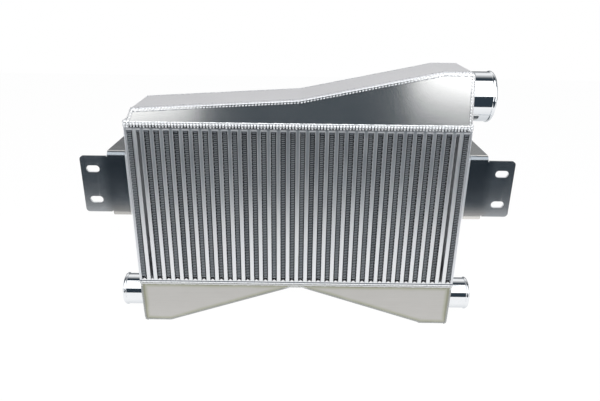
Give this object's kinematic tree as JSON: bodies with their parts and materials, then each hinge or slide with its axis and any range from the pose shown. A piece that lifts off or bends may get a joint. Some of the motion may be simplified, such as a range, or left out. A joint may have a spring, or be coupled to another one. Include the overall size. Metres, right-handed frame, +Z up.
{
  "type": "intercooler",
  "caption": "Bar-and-plate air-to-air intercooler with welded end tanks, a single outlet above, twin inlets below and slotted side brackets.",
  "frame": {"origin": "on the ground under the middle of the core, where the feet of the lower tank stand", "axes": "+X along the core's width, towards the outlet pipe; -Y is the front face; +Z up along the charge tubes"},
  "size_m": [0.786, 0.1178, 0.502],
  "materials": {
    "tube_bar": "satin extruded bar",
    "fin": "mill strip, in shade",
    "turbulator": "mill strip",
    "closing_bar": "satin extruded bar",
    "side_plate": "mill sheet",
    "brushed_sheet": "satin sheet with soft reflections",
    "matte_sheet": "fine bead-blasted sheet",
    "satin_sheet": "satin sheet",
    "weld": "bright rippled weld",
    "bracket": "smooth rolled sheet",
    "polished_pipe": "mirror polished"
  },
  "bodies": {
    "root": {"air_fins": "fin", "bracket_left": "bracket", "bracket_right": "bracket", "bracket_welds": "weld", "charge_tube_01": "tube_bar", "charge_tube_02": "tube_bar", "charge_tube_03": "tube_bar", "charge_tube_04": "tube_bar", "charge_tube_05": "tube_bar", "charge_tube_06": "tube_bar", "charge_tube_07": "tube_bar", "charge_tube_08": "tube_bar", "charge_tube_09": "tube_bar", "charge_tube_10": "tube_bar", "charge_tube_11": "tube_bar", "charge_tube_12": "tube_bar", "charge_tube_13": "tube_bar", "charge_tube_14": "tube_bar", "charge_tube_15": "tube_bar", "charge_tube_16": "tube_bar", "charge_tube_17": "tube_bar", "charge_tube_18": "tube_bar", "charge_tube_19": "tube_bar", "charge_tube_20": "tube_bar", "charge_tube_21": "tube_bar", "charge_tube_22": "tube_bar", "charge_tube_23": "tube_bar", "charge_tube_24": "tube_bar", "charge_tube_25": "tube_bar", "charge_tube_26": "tube_bar", "charge_tube_27": "tube_bar", "charge_tube_28": "tube_bar", "charge_tube_29": "tube_bar", "charge_tube_30": "tube_bar", "charge_tube_31": "tube_bar", "charge_tube_32": "tube_bar", "charge_tube_33": "tube_bar", "charge_tube_34": "tube_bar", "charge_tube_35": "tube_bar", "inlet_pipes": "polished_pipe", "lower_closing_bars": "closing_bar", "lower_tank_front": "satin_sheet", "lower_tank_rear": "satin_sheet", "lower_tank_welds": "weld", "lower_tank_wrap": "matte_sheet", "outlet_pipe": "polished_pipe", "side_plate_left": "side_plate", "side_plate_right": "side_plate", "turbulators": "turbulator", "upper_closing_bars": "closing_bar", "upper_tank_end_plate": "matte_sheet", "upper_tank_front": "brushed_sheet", "upper_tank_rear": "brushed_sheet", "upper_tank_roof": "matte_sheet", "upper_tank_welds": "weld"}
  },
  "joints": []
}
